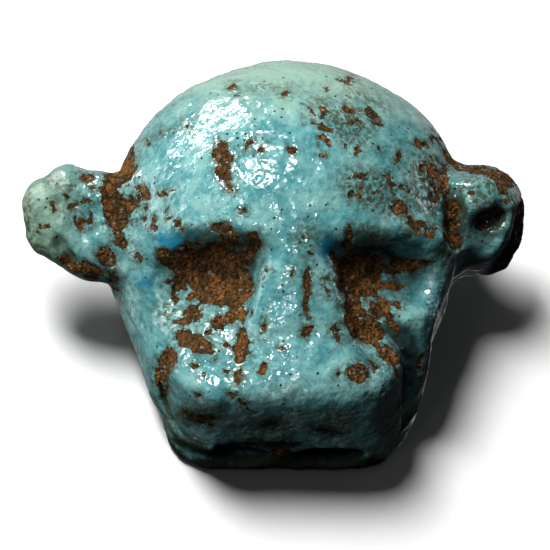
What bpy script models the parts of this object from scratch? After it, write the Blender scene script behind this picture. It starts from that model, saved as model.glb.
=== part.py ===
"""Lioness head amulet bead, moulded in one piece of glazed Egyptian faience.

X runs across the head, Y from the muzzle to the nape and Z up from the flat underside that the bead lies on.
The head is one form: a signed distance in millimetres, below zero inside and above zero outside, joined and
carved from simple ones. It becomes a closed mesh, which the underside and the string hole are cut from.
"""

import math

import bpy
import numpy as np
import openvdb  # comes with Blender

MM = 0.001

# The whole bead, in millimetres.
SPAN = 25.2  # ear tip to ear tip
LENGTH = 20.1  # muzzle to nape
HEIGHT = 11.8  # underside to crown

FRONT = -LENGTH / 2
NAPE = LENGTH / 2
EAR_TIP = SPAN / 2

# Skull: an ellipsoid, which sits right of the middle.
SKULL_RADII = (8.95, 8.3, 7.2)
SKULL_CENTRE = (0.7, NAPE - SKULL_RADII[1], HEIGHT - SKULL_RADII[2])

# Cheeks: a body that narrows and sinks from below the ears to the chin.
CHEEK_MIDDLE = 0.5
CHEEK_LINE = -0.9
CHEEK_FRONT = FRONT + 0.6
CHEEK_BACK = 2.0
CHEEK_HALF_WIDTH = 8.6
CHIN_HALF_WIDTH = 5.9
CHIN_TOP = 2.4
CHEEK_TOP = 7.7
CHEEK_RISE = 0.4
WIDEST_HEIGHT = 2.6
UNDERCUT = 4.5
CHEEK_SQUARENESS = 2.8
CHEEK_ROUNDING = 3.0

# Muzzle and jaw: a block above the mouth and a slab below it. Each outline is (middle, half width, front, corner).
MUZZLE_BACK = -5.0
MUZZLE_OUTLINE = (0.45, 5.95, FRONT + 0.15, 1.5)
MUZZLE_TOP = 7.5
MUZZLE_EDGE = 1.6
LIP_HEIGHT = 2.4
LIP_EDGE = 0.5
JAW_OUTLINE = (0.6, 5.75, FRONT, 2.8)
JAW_HEIGHT = 1.0
JAW_EDGE = 0.4
JAW_BOTTOM = -1.0

# Mouth: a hollow between lip and jaw, on each side of the chin's middle.
MOUTH_OFFSET = 2.1
MOUTH_HALF_WIDTH = 1.6
MOUTH_DEPTH = 2.0

# Eyes: each hollow is widest below the brow and runs down beside the nose. Rod ends are (offset, y, z, radius).
EYE_MIDDLE = 1.15
EYE_OFFSET = 4.5
SOCKET_PLACE = (-4.9, 9.4)
SOCKET_RADII = (3.5, 2.4, 2.1)
TROUGH_TOP = (3.6, -4.9, 9.2, 2.0)
TROUGH_END = (4.2, -7.4, 8.6, 1.4)
BROW_START = (2.3, -2.1, 9.4, 0.9)
BROW_END = (6.4, -1.2, 8.0, 0.9)

# Bridge of the nose: stations of (y, top, half width).
BRIDGE = ((FRONT, 7.4, 3.9), (-7.1, 8.2, 3.3), (-3.2, 10.4, 1.9), (0.5, 11.0, 1.8))
BRIDGE_MIDDLE = 1.2
BRIDGE_EDGE = 1.2

# Ears: thick tabs that face up and forward.
EAR_HALF_LENGTH = 3.6
EAR_HALF_HEIGHT = 2.75
EAR_HALF_THICKNESS = 1.5
EAR_CORNER = 2.2
EAR_EDGE = 1.2
EAR_PLACE = (0.7, 6.2)
EAR_LEAN = math.radians(37)
EAR_TILT = 0.18
EAR_CUP_PLACE = (1.3, 0.3, 1.6)
EAR_CUP_RADII = (1.2, 1.3, 1.6)

# String hole, bored from side to side behind and below the ears.
BORE_RADIUS = 1.0
BORE_PLACE = (1.6, 3.0)
BORE_SIDES = 32

# Rounding where two forms meet.
SOFT_FILLET = 1.2
FILLET = 0.8
TIGHT_FILLET = 0.4

VOXEL = 0.3
MARGIN = 4 * VOXEL
LOWEST = -3.0
TARGET_TRIANGLES = 9000

GLAZE_COLOUR = (0.13, 0.42, 0.44, 1.0)
GLAZE_ROUGHNESS = 0.2


def join(a, b, fillet):
    """Union of two forms, filled out where they meet."""
    share = np.maximum(fillet - np.abs(a - b), 0.0) / fillet
    return np.minimum(a, b) - share * share * fillet / 4


def carve(a, b, fillet):
    """The first form with the second cut away, over a rounded edge."""
    return -join(-a, b, fillet)


def ease(share):
    """Smooth step from 0 to 1."""
    share = np.clip(share, 0.0, 1.0)
    return share * share * (3.0 - 2.0 * share)


def ellipsoid(x, y, z, centre, radii):
    """Distance to an ellipsoid, close enough near its surface."""
    px, py, pz = x - centre[0], y - centre[1], z - centre[2]
    level = np.sqrt((px / radii[0]) ** 2 + (py / radii[1]) ** 2 + (pz / radii[2]) ** 2)
    slope = np.sqrt((px / radii[0] ** 2) ** 2 + (py / radii[1] ** 2) ** 2 + (pz / radii[2] ** 2) ** 2)
    return level * (level - 1.0) / np.maximum(slope, 1e-6)


def rod(x, y, z, start, end):
    """Distance to a tapered rod with round ends; start and end are (x, y, z, radius)."""
    step = [end[i] - start[i] for i in range(3)]
    length_squared = sum(part * part for part in step)
    px, py, pz = x - start[0], y - start[1], z - start[2]
    share = np.clip((px * step[0] + py * step[1] + pz * step[2]) / length_squared, 0.0, 1.0)
    gap = np.sqrt((px - share * step[0]) ** 2 + (py - share * step[1]) ** 2 + (pz - share * step[2]) ** 2)
    return gap - start[3] - (end[3] - start[3]) * share


def rounded(sides, radius):
    """Distance to the space inside all the sides, with its corners rounded."""
    inset = [side + radius for side in sides]
    outside = np.sqrt(sum(np.maximum(side, 0.0) ** 2 for side in inset))
    inside = np.minimum(np.maximum.reduce(inset), 0.0)
    return outside + inside - radius


def cheeks(x, y, z):
    """Superellipse sections that widen and rise from the chin to the cheeks."""
    back = (y - CHEEK_FRONT) / (CHEEK_LINE - CHEEK_FRONT)
    half = CHIN_HALF_WIDTH + (CHEEK_HALF_WIDTH - CHIN_HALF_WIDTH) * np.clip(back, 0.0, 1.0)
    top = CHIN_TOP + (CHEEK_TOP - CHIN_TOP) * ease(back / CHEEK_RISE)
    level = np.minimum(WIDEST_HEIGHT, top / 2)
    tall = np.where(z > level, top - level, UNDERCUT)
    power = CHEEK_SQUARENESS
    section = (np.abs((x - CHEEK_MIDDLE) / half) ** power + np.abs((z - level) / tall) ** power) ** (1 / power)
    sides = (section - 1.0) * np.minimum(half, tall)
    return carve(sides, np.minimum(y - CHEEK_FRONT, CHEEK_BACK - y), CHEEK_ROUNDING)


def plan(x, y, outline):
    """Distance to an upright block's outline, seen from above."""
    middle, half_width, front, corner = outline
    return rounded([np.abs(x - middle) - half_width, front - y, y - MUZZLE_BACK], corner)


def muzzle(x, y, z):
    """Block of the upper muzzle."""
    block = carve(plan(x, y, MUZZLE_OUTLINE), MUZZLE_TOP - z, MUZZLE_EDGE)
    return carve(block, z - LIP_HEIGHT, LIP_EDGE)


def jaw(x, y, z):
    """Slab of the lower jaw."""
    slab = carve(plan(x, y, JAW_OUTLINE), JAW_HEIGHT - z, JAW_EDGE)
    return carve(slab, z - JAW_BOTTOM, JAW_EDGE)


def mouth(x, y, z, side):
    """Hollow between lip and jaw, on one side of the chin's middle."""
    across = np.abs(x - MUZZLE_OUTLINE[0] - side * MOUTH_OFFSET) - MOUTH_HALF_WIDTH
    upright = np.abs(z - (LIP_HEIGHT + JAW_HEIGHT) / 2) - (LIP_HEIGHT - JAW_HEIGHT) / 2
    return rounded([across, y - FRONT - MOUTH_DEPTH, upright], JAW_EDGE)


def bridge(x, y, z):
    """Band of the nose, from between the brows to the muzzle's front."""
    stations, tops, halves = zip(*BRIDGE)
    over = z - np.interp(y, stations, tops)
    beside = np.abs(x - BRIDGE_MIDDLE) - np.interp(y, stations, halves)
    front = MUZZLE_OUTLINE[2] + MUZZLE_EDGE / 2 - y
    return np.maximum(carve(over, -beside, BRIDGE_EDGE), np.maximum(front, y - BRIDGE[-1][0]))


def beside_nose(place, side):
    """A rod end given by its offset from the eyes' middle."""
    return (EYE_MIDDLE + side * place[0], *place[1:])


def brow(x, y, z, side):
    """Low ridge over one eye."""
    return rod(x, y, z, beside_nose(BROW_START, side), beside_nose(BROW_END, side))


def eye_socket(x, y, z, side):
    """Hollow below one brow, with the trough that runs down beside the nose."""
    hollow = ellipsoid(x, y, z, (EYE_MIDDLE + side * EYE_OFFSET, *SOCKET_PLACE), SOCKET_RADII)
    trough = rod(x, y, z, beside_nose(TROUGH_TOP, side), beside_nose(TROUGH_END, side))
    return join(hollow, trough, FILLET)


def ear(x, y, z, side):
    """One ear: a thick tab that leans back. Only the right one is hollowed in its face."""
    px = x - side * (EAR_TIP - EAR_HALF_LENGTH)
    py, pz = y - EAR_PLACE[0], z - EAR_PLACE[1]
    up = py * math.cos(EAR_LEAN) + pz * math.sin(EAR_LEAN) + EAR_TILT * px
    out = pz * math.cos(EAR_LEAN) - py * math.sin(EAR_LEAN)
    outline = rounded([np.abs(px) - EAR_HALF_LENGTH, np.abs(up) - EAR_HALF_HEIGHT], EAR_CORNER)
    tab = rounded([outline, np.abs(out) - EAR_HALF_THICKNESS], EAR_EDGE)
    if side < 0:
        return tab
    return carve(tab, ellipsoid(px, up, out, EAR_CUP_PLACE, EAR_CUP_RADII), TIGHT_FILLET)


def head(x, y, z):
    """The whole head, before the underside and the string hole are cut."""
    form = ellipsoid(x, y, z, SKULL_CENTRE, SKULL_RADII)
    for side in (-1, 1):
        form = join(form, brow(x, y, z, side), FILLET)
    form = join(form, cheeks(x, y, z), SOFT_FILLET)
    form = join(form, jaw(x, y, z), TIGHT_FILLET)
    form = join(form, muzzle(x, y, z), TIGHT_FILLET)
    for side in (-1, 1):
        form = carve(form, eye_socket(x, y, z, side), FILLET)
        form = join(form, ear(x, y, z, side), FILLET)
        form = carve(form, mouth(x, y, z, side), TIGHT_FILLET)
    return join(form, bridge(x, y, z), TIGHT_FILLET)


def form_mesh(name, form):
    """Closed mesh of a form's surface, in metres."""
    lowest = np.array([-EAR_TIP, FRONT, LOWEST]) - MARGIN
    highest = np.array([EAR_TIP, NAPE, HEIGHT]) + MARGIN
    counts = np.ceil((highest - lowest) / VOXEL).astype(int) + 1
    axes = [start + VOXEL * np.arange(count) for start, count in zip(lowest, counts)]
    distances = form(*np.meshgrid(*axes, indexing="ij"))
    grid = openvdb.FloatGrid(background=MARGIN)
    grid.copyFromArray(np.clip(distances, -MARGIN, MARGIN).astype(np.float32))
    points, quads = grid.convertToQuads(0.0)
    mesh = bpy.data.meshes.new(name)
    mesh.from_pydata(((points * VOXEL + lowest) * MM).tolist(), [], quads.tolist())
    return mesh


def block_mesh(name, low, high):
    """Box between two corners, in millimetres."""
    corners = [[(low[i], high[i])[bit] * MM for i, bit in enumerate(bits)] for bits in np.ndindex(2, 2, 2)]
    faces = [(0, 1, 3, 2), (4, 6, 7, 5), (0, 4, 5, 1), (2, 3, 7, 6), (0, 2, 6, 4), (1, 5, 7, 3)]
    mesh = bpy.data.meshes.new(name)
    mesh.from_pydata(corners, [], faces)
    return mesh


def rod_mesh(name, radius, half_length, sides):
    """Round bar along X, in millimetres."""
    turns = [2 * math.pi * i / sides for i in range(sides)]
    ring = [(math.cos(turn) * radius * MM, math.sin(turn) * radius * MM) for turn in turns]
    vertices = [(end * half_length * MM, y, z) for end in (-1, 1) for y, z in ring]
    walls = [(i, (i + 1) % sides, sides + (i + 1) % sides, sides + i) for i in range(sides)]
    caps = [tuple(reversed(range(sides))), tuple(range(sides, 2 * sides))]
    mesh = bpy.data.meshes.new(name)
    mesh.from_pydata(vertices, [], walls + caps)
    return mesh


def add_object(name, mesh):
    made = bpy.data.objects.new(name, mesh)
    bpy.context.scene.collection.objects.link(made)
    return made


def add_cutter(body, name, mesh, location=(0, 0, 0)):
    """A hidden object that a Boolean modifier takes away from the body."""
    cutter = add_object(name, mesh)
    cutter.location = location
    cutter.hide_render = True
    cutter.display_type = "WIRE"
    cut = body.modifiers.new(name, "BOOLEAN")
    cut.operation = "DIFFERENCE"
    cut.solver = "EXACT"
    cut.object = cutter


def glaze_material():
    """Turquoise alkaline glaze."""
    material = bpy.data.materials.new("turquoise_glaze")
    material.use_nodes = True
    shader = material.node_tree.nodes["Principled BSDF"]
    shader.inputs["Base Color"].default_value = GLAZE_COLOUR
    shader.inputs["Roughness"].default_value = GLAZE_ROUGHNESS
    shader.inputs["Metallic"].default_value = 0.0
    return material


def make_head():
    """The bead: the head's form, thinned to fewer triangles, less its underside and its string hole."""
    bead = add_object("lioness_head", form_mesh("lioness_head", head))
    bead.data.materials.append(glaze_material())
    bead.data.shade_smooth()
    thin = bead.modifiers.new("thin", "DECIMATE")
    thin.ratio = TARGET_TRIANGLES / (2 * len(bead.data.polygons))
    low = (-SPAN, -LENGTH, -HEIGHT)
    high = (SPAN, LENGTH, 0)
    add_cutter(bead, "underside_cutter", block_mesh("underside_cutter", low, high))
    bore = rod_mesh("bore_cutter", BORE_RADIUS, SPAN, BORE_SIDES)
    add_cutter(bead, "bore_cutter", bore, (0, BORE_PLACE[0] * MM, BORE_PLACE[1] * MM))


def main():
    for old in list(bpy.data.objects):
        bpy.data.objects.remove(old, do_unlink=True)
    make_head()


main()
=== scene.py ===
"""Looks of the lioness head bead: a pitted turquoise glaze, worn through to a brown, gritty core.

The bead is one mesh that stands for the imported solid. Its form is a signed distance in millimetres, below
zero inside: the solid's own form, with finer folds and edges. X runs across the head, Y from the muzzle to
the nape and Z up. Marks on the face have their places on the face plane, which leans back by the camera's
elevation: `across` is X and `up` runs up the face.
"""

import functools
import math

import bpy
import numpy as np
import openvdb  # comes with Blender
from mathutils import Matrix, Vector


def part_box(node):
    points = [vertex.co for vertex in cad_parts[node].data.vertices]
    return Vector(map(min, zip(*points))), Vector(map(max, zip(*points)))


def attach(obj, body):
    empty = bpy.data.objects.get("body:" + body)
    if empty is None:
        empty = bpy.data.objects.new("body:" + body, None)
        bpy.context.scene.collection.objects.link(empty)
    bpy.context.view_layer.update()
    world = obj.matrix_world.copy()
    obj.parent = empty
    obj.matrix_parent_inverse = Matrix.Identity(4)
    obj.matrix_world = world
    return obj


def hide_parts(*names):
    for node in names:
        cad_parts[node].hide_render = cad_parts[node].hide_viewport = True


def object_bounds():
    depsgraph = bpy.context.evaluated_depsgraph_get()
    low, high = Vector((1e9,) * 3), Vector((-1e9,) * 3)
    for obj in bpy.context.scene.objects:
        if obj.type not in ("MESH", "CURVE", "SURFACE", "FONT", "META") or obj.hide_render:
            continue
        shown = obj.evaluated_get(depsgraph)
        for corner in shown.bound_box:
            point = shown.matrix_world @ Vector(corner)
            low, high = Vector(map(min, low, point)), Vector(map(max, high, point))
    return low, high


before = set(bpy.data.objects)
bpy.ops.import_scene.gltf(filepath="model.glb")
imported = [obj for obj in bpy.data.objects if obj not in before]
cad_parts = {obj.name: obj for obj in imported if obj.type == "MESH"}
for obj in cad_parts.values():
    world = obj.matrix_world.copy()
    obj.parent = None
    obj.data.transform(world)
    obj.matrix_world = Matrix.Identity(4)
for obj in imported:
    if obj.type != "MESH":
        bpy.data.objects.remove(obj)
CAD_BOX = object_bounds()

MM = 0.001
LOW, HIGH = [np.array(corner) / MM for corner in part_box("lioness_head")]
BASE = LOW[2]
HEIGHT = HIGH[2] - LOW[2]
FRONT = LOW[1]
NAPE = HIGH[1]
EAR_TIP = HIGH[0]

# View of the photograph, which is also how far the face plane leans.
ELEVATION = math.radians(60)
FACE_UP = (0.0, math.sin(ELEVATION), math.cos(ELEVATION))
FACE_OUT = (0.0, -math.cos(ELEVATION), math.sin(ELEVATION))

# Skull: an ellipsoid, which sits right of the middle.
SKULL_RADII = (8.95, 8.3, 7.2)
SKULL_CENTRE = (0.7, NAPE - SKULL_RADII[1], HEIGHT - SKULL_RADII[2])

# Cheeks: a body that narrows and sinks from below the ears to the chin.
CHEEK_MIDDLE = 0.5
CHEEK_LINE = -0.9
CHEEK_FRONT = FRONT + 0.6
CHEEK_BACK = 2.0
LEFT_HALF_WIDTHS = (5.9, 8.6)  # at the chin and below the ears
RIGHT_HALF_WIDTHS = (6.7, 8.8)
RIGHT_DRAFT = 0.15  # how far the right side draws in for each millimetre below its top
CHIN_TOP = 2.4
CHEEK_TOP = 7.5
LEFT_RISE = 0.4  # share of the way back over which the top rises
RIGHT_RISE = 0.55
WIDEST_HEIGHT = 2.6
UNDERCUT = 4.5
LEFT_SQUARENESS = 2.5
RIGHT_SQUARENESS = 8.0
CHEEK_ROUNDING = 3.0
RIGHT_HOLLOW = ((10.4, -1.7, 3.2), (1.75, 2.0, 3.4))  # below the right ear

# Muzzle and jaw: a block above the mouth and a slab below it. Each outline is (middle, half width, front,
# corner).
MUZZLE_BACK = -5.0
MUZZLE_OUTLINE = (0.45, 5.95, FRONT + 0.15, 3.0)
RIGHT_CORNER = 1.4  # at the lip; it widens upwards to the left corner's
MUZZLE_TOP = 7.5
MUZZLE_FALL = 0.1
MUZZLE_EDGE = 1.6
LIP_HEIGHT = 2.1
LIP_START = FRONT + 1.7  # behind here the lip's lower edge rises along the muzzle's sides
LIP_RISE = 0.9
LIP_EDGE = 0.4
LIP_OVERHANG = 0.2
LIP_GAP = 0.1
JAW_OUTLINE = (0.5, 6.0, FRONT, 2.4)
JAW_HEIGHT = 0.8
JAW_EDGE = 0.4
JAW_BOTTOM = -1.0

# Grooves at the muzzle's sides, each through (x, y, z, radius).
GROOVES = (
    (
        (-5.55, -6.6, 4.2, 0.15), (-5.45, -7.7, 2.9, 0.22), (-5.15, -8.35, 2.25, 0.22),
        (-4.5, -9.15, 2.15, 0.2), (-3.35, -9.8, 2.2, 0.18), (-1.25, -9.95, 1.9, 0.1),
    ),
    ((6.4, -7.0, 6.9, 0.15), (6.55, -8.0, 4.4, 0.3), (6.55, -8.8, 2.0, 0.22), (5.4, -9.9, 1.9, 0.15)),
)

# Mouth: two hollows between lip and jaw, each (middle, half width).
MOUTHS = ((-1.7, 1.45), (2.65, 1.75))
MOUTH_PLACE = (FRONT + 0.3, 1.35)
MOUTH_RADII = (2.8, 0.72)

# Eyes: each hollow is widest below the brow and runs down beside the nose. Rod ends are (offset from the
# eyes' middle, y, z, radius).
EYE_MIDDLE = 1.15
SOCKETS = {
    -1: ((2.6, -4.2, 9.3, 1.6), (4.5, -3.7, 8.6, 1.45), (6.2, -3.9, 7.6, 1.2)),
    1: ((2.4, -4.45, 9.65, 1.5), (4.6, -3.5, 8.45, 1.1), (6.0, -3.45, 7.6, 0.9)),
}
TROUGH = ((3.6, -4.9, 9.8, 1.9), (4.2, -7.6, 9.1, 1.6))
BROW_START = (2.3, -1.7, 9.6, 0.9)
BROW_END = (6.4, -1.3, 7.9, 0.9)

# Bridge of the nose: stations of (y, top, left edge, right edge).
BRIDGE = ((FRONT, 7.4, -2.6, 5.9), (-7.1, 8.2, -1.9, 4.4), (-3.2, 10.4, -0.7, 3.1), (0.5, 11.0, -0.6, 3.0))
BRIDGE_EDGE = 1.4
BRIDGE_CROWN = 0.5

# Ears: thick tabs that face up and forward. Inside an ear, places are (outwards, up its face, out of its
# face). The dishes, the knob and the hole are ellipsoids, each (middle, radii).
EAR_HALF_LENGTH = 3.6
EAR_PLACE = (0.7, 6.2)
EAR_LEAN = math.radians(37)
EAR_HALF_THICKNESS = 1.5
LEFT_EAR_BOW = 0.06
LEFT_EAR_MAIN = (
    ((1.45, 1.75, 1.1), (0.0, 1.2, 1.2)), ((0.6, 0.3, 1.8), (0.0, -1.2, 1.75)),
    ((1.2, -0.7, 1.4), (-0.3, -1.2, 1.75)),
)
LEFT_EAR_RIM = (((2.4, 0.95, 1.2), (2.15, -0.45, 1.3)), ((2.15, -0.45, 1.3), (0.3, -1.1, 1.65)))
LEFT_EAR_STEP = 0.3  # how far the rim lies behind the main lobe
LEFT_EAR_EDGE = 1.0
LEFT_EAR_NECK_MIDDLE = -2.4
LEFT_EAR_NECK_HALF_SIZES = (2.6, 2.4, 1.3)
LEFT_EAR_NECK_EDGE = 0.8
LEFT_EAR_DISH = ((0.8, 0.6, 2.6), (1.2, 1.5, 1.25))
LEFT_EAR_FOLD = ((2.0, 0.0, 1.5, 0.15), (1.75, -0.95, 1.4, 0.35), (1.15, -1.8, 1.2, 0.3))
RIGHT_EAR_MIDDLE = (0.8, -0.15)
RIGHT_EAR_HALF_SIZES = (2.8, 3.0)
RIGHT_EAR_CORNER = 2.3
RIGHT_EAR_EDGE = 0.3
RIGHT_EAR_BOW = 0.12
RIGHT_EAR_BOW_TOP = 1.0  # below here the ear bows back and flares
RIGHT_EAR_DRAFT = 0.2
RIGHT_EAR_FLARE = 0.043
RIGHT_EAR_DISH = ((1.7, 0.5, 1.9), (1.3, 1.5, 1.0))
RIGHT_EAR_KNOB = ((0.8, 1.15, 0.9), (1.3, 0.9, 0.95))
RIGHT_EAR_HOLE = ((1.9, 0.4, 1.1), (0.75, 0.4, 0.6))
RIGHT_EAR_ROOT = ((-0.15, 3.0, 1.9, 0.45), (0.0, -0.6, 1.7, 0.45))

# String hole, from side to side.
BORE_RADIUS = 1.0
BORE_PLACE = (1.6, 3.0)

# Rounding where two forms meet.
SOFT_FILLET = 1.2
FILLET = 0.8
CRISP_FILLET = 0.45
TIGHT_FILLET = 0.3

TINY = 1e-6

# Spacing of the grid that the form is meshed on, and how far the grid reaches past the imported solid.
VOXEL = 0.135
MARGIN = 4 * VOXEL


def join(a, b, fillet):
    """Union of two forms, filled out where they meet."""
    share = np.maximum(fillet - np.abs(a - b), 0.0) / fillet
    return np.minimum(a, b) - share * share * fillet / 4


def carve(a, b, fillet):
    """The first form with the second cut away, over a rounded edge."""
    return -join(-a, b, fillet)


def ease(share):
    """Smooth step from 0 to 1."""
    share = np.clip(share, 0.0, 1.0)
    return share * share * (3.0 - 2.0 * share)


def ellipsoid(x, y, z, centre, radii):
    """Distance to an ellipsoid, close enough near its surface."""
    px, py, pz = x - centre[0], y - centre[1], z - centre[2]
    level = np.sqrt((px / radii[0]) ** 2 + (py / radii[1]) ** 2 + (pz / radii[2]) ** 2)
    slope = np.sqrt((px / radii[0] ** 2) ** 2 + (py / radii[1] ** 2) ** 2 + (pz / radii[2] ** 2) ** 2)
    return level * (level - 1.0) / np.maximum(slope, TINY)


def rod(x, y, z, start, end):
    """Distance to a tapered rod with round ends; start and end are (x, y, z, radius)."""
    step = [end[i] - start[i] for i in range(3)]
    length_squared = sum(part * part for part in step)
    px, py, pz = x - start[0], y - start[1], z - start[2]
    share = np.clip((px * step[0] + py * step[1] + pz * step[2]) / length_squared, 0.0, 1.0)
    gap = np.sqrt((px - share * step[0]) ** 2 + (py - share * step[1]) ** 2 + (pz - share * step[2]) ** 2)
    return gap - start[3] - (end[3] - start[3]) * share


def rounded(sides, radius):
    """Distance to the space inside all the sides, with its corners rounded."""
    inset = [side + radius for side in sides]
    outside = np.sqrt(sum(np.maximum(side, 0.0) ** 2 for side in inset))
    inside = np.minimum(functools.reduce(np.maximum, inset), 0.0)
    return outside + inside - radius


def cheeks(x, y, z):
    """Superellipse sections that widen and rise from the chin to the cheeks."""
    back = (y - CHEEK_FRONT) / (CHEEK_LINE - CHEEK_FRONT)
    right = ease((x - CHEEK_MIDDLE) / LEFT_HALF_WIDTHS[0])
    left_half = np.interp(back, (0.0, 1.0), LEFT_HALF_WIDTHS)
    right_half = np.interp(back, (0.0, 1.0), RIGHT_HALF_WIDTHS)
    rise = LEFT_RISE + (RIGHT_RISE - LEFT_RISE) * right
    top = CHIN_TOP + (CHEEK_TOP - CHIN_TOP) * ease(back / rise)
    half = left_half + (right_half - left_half - RIGHT_DRAFT * np.maximum(top - z, 0.0)) * right
    level = np.minimum(WIDEST_HEIGHT, top / 2)
    tall = np.where(z > level, top - level, UNDERCUT)
    power = LEFT_SQUARENESS + (RIGHT_SQUARENESS - LEFT_SQUARENESS) * right
    beside = np.abs((x - CHEEK_MIDDLE) / half)
    above = np.abs((z - level) / tall)
    sides = ((beside**power + above**power) ** (1 / power) - 1.0) * np.minimum(half, tall)
    return carve(sides, np.minimum(y - CHEEK_FRONT, CHEEK_BACK - y), CHEEK_ROUNDING)


def plan(x, y, middle, half_width, front, corner):
    """Distance to an upright block's outline, seen from above."""
    return rounded([np.abs(x - middle) - half_width, front - y, y - MUZZLE_BACK], corner)


def lip_line(y):
    """Height of the upper lip's lower edge."""
    return LIP_HEIGHT + LIP_RISE * np.maximum(y - LIP_START, 0.0)


def muzzle(x, y, z):
    """Block of the upper muzzle, whose top falls towards the eyes and whose right corner is sharper."""
    middle, half_width, front, corner = MUZZLE_OUTLINE
    sharp = RIGHT_CORNER + (corner - RIGHT_CORNER) * ease((z - LIP_HEIGHT) / (MUZZLE_TOP - LIP_HEIGHT))
    outline = plan(x, y, middle, half_width, front, np.where(x > middle, sharp, corner))
    over = MUZZLE_TOP - MUZZLE_FALL * (y - FRONT) - z
    return carve(carve(outline, over, MUZZLE_EDGE), z - lip_line(y), LIP_EDGE)


def jaw(x, y, z):
    """Slab of the lower jaw, and the chin that joins it to the lip above."""
    outline = plan(x, y, *JAW_OUTLINE)
    slab = carve(outline, JAW_HEIGHT - z, JAW_EDGE)
    chin = carve(outline + LIP_OVERHANG, lip_line(y) - LIP_GAP - z, JAW_EDGE)
    return carve(join(slab, chin, TIGHT_FILLET), z - JAW_BOTTOM, JAW_EDGE)


def mouth(x, y, z, middle, half_width):
    """One hollow between lip and jaw."""
    return ellipsoid(x, y, z, (middle, *MOUTH_PLACE), (half_width, *MOUTH_RADII))


def bridge(x, y, z):
    """Band of the nose, from between the brows to the muzzle's front."""
    stations, tops, lefts, rights = zip(*BRIDGE)
    left, right = np.interp(y, stations, lefts), np.interp(y, stations, rights)
    over = z - np.interp(y, stations, tops) + BRIDGE_CROWN * ((2 * x - left - right) / (right - left)) ** 2
    beside = np.maximum(left - x, x - right)
    band = carve(carve(over, -beside, BRIDGE_EDGE), y - MUZZLE_OUTLINE[2], MUZZLE_EDGE)
    return np.maximum(band, y - BRIDGE[-1][0])


def beside_nose(place, side):
    """A rod end given by its offset from the eyes' middle."""
    return (EYE_MIDDLE + side * place[0], *place[1:])


def brow(x, y, z, side):
    """Low ridge over one eye."""
    return rod(x, y, z, beside_nose(BROW_START, side), beside_nose(BROW_END, side))


def eye_socket(x, y, z, side):
    """Hollow below one brow, with the trough that runs down beside the nose."""
    trough = rod(x, y, z, *[beside_nose(place, side) for place in TROUGH])
    places = [beside_nose(place, side) for place in SOCKETS[side]]
    rods = [rod(x, y, z, start, end) for start, end in zip(places, places[1:])]
    return join(functools.reduce(np.minimum, rods), trough, FILLET)


def ear_axes(x, y, z, side):
    """Places inside one ear: outwards, up its face and out of its face."""
    out = side * x - (EAR_TIP - EAR_HALF_LENGTH)
    py, pz = y - EAR_PLACE[0], z - EAR_PLACE[1]
    rise = py * math.cos(EAR_LEAN) + pz * math.sin(EAR_LEAN)
    front = pz * math.cos(EAR_LEAN) - py * math.sin(EAR_LEAN)
    return out, rise, front


def tab(out, rise, front, rods):
    """Flat tab with rounded edges. Its outline is made of rods, whose ends are (out, rise, radius)."""
    sides = [rod(out, rise, 0.0, (*start[:2], 0.0, start[2]), (*end[:2], 0.0, end[2])) for start, end in rods]
    return rounded([functools.reduce(np.minimum, sides), np.abs(front) - EAR_HALF_THICKNESS], LEFT_EAR_EDGE)


def left_ear_neck(out, rise, front):
    """Block between the ear and the skull."""
    places = (out - LEFT_EAR_NECK_MIDDLE, rise, front)
    sides = [np.abs(place) - half for place, half in zip(places, LEFT_EAR_NECK_HALF_SIZES)]
    return rounded(sides, LEFT_EAR_NECK_EDGE)


def left_ear(x, y, z):
    """Two lobes that meet in a notch above and a fold below, on a neck."""
    out, rise, front = ear_axes(x, y, z, -1)
    bowed = front + LEFT_EAR_BOW * rise**2
    main = tab(out, rise, bowed, LEFT_EAR_MAIN)
    rim = tab(out, rise, bowed + LEFT_EAR_STEP, LEFT_EAR_RIM)
    form = join(join(main, left_ear_neck(out, rise, front), FILLET), rim, TIGHT_FILLET)
    for start, end in zip(LEFT_EAR_FOLD, LEFT_EAR_FOLD[1:]):
        form = carve(form, rod(out, rise, bowed, start, end), TIGHT_FILLET)
    return carve(form, ellipsoid(out, rise, front, *LEFT_EAR_DISH), FILLET)


def right_ear(x, y, z):
    """A dished tab, bowed from top to bottom. A knob stands in its dish, above a deep hollow."""
    out, rise, front = ear_axes(x, y, z, 1)
    below = np.maximum(RIGHT_EAR_BOW_TOP - rise, 0.0)
    bowed = front + RIGHT_EAR_BOW * below**2
    places = zip((out, rise), RIGHT_EAR_MIDDLE, RIGHT_EAR_HALF_SIZES)
    outline = rounded([np.abs(place - middle) - half for place, middle, half in places], RIGHT_EAR_CORNER)
    slope = RIGHT_EAR_DRAFT + RIGHT_EAR_FLARE * below * np.maximum(out, 0.0)
    sides = [outline + slope * (bowed + EAR_HALF_THICKNESS), np.abs(bowed) - EAR_HALF_THICKNESS]
    form = carve(rounded(sides, RIGHT_EAR_EDGE), ellipsoid(out, rise, bowed, *RIGHT_EAR_DISH), FILLET)
    form = join(form, ellipsoid(out, rise, bowed, *RIGHT_EAR_KNOB), CRISP_FILLET)
    return carve(form, ellipsoid(out, rise, bowed, *RIGHT_EAR_HOLE), CRISP_FILLET)


def bore(y, z):
    """Distance to the string hole, below zero inside it."""
    return np.hypot(y - BORE_PLACE[0], z - BORE_PLACE[1]) - BORE_RADIUS


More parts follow.
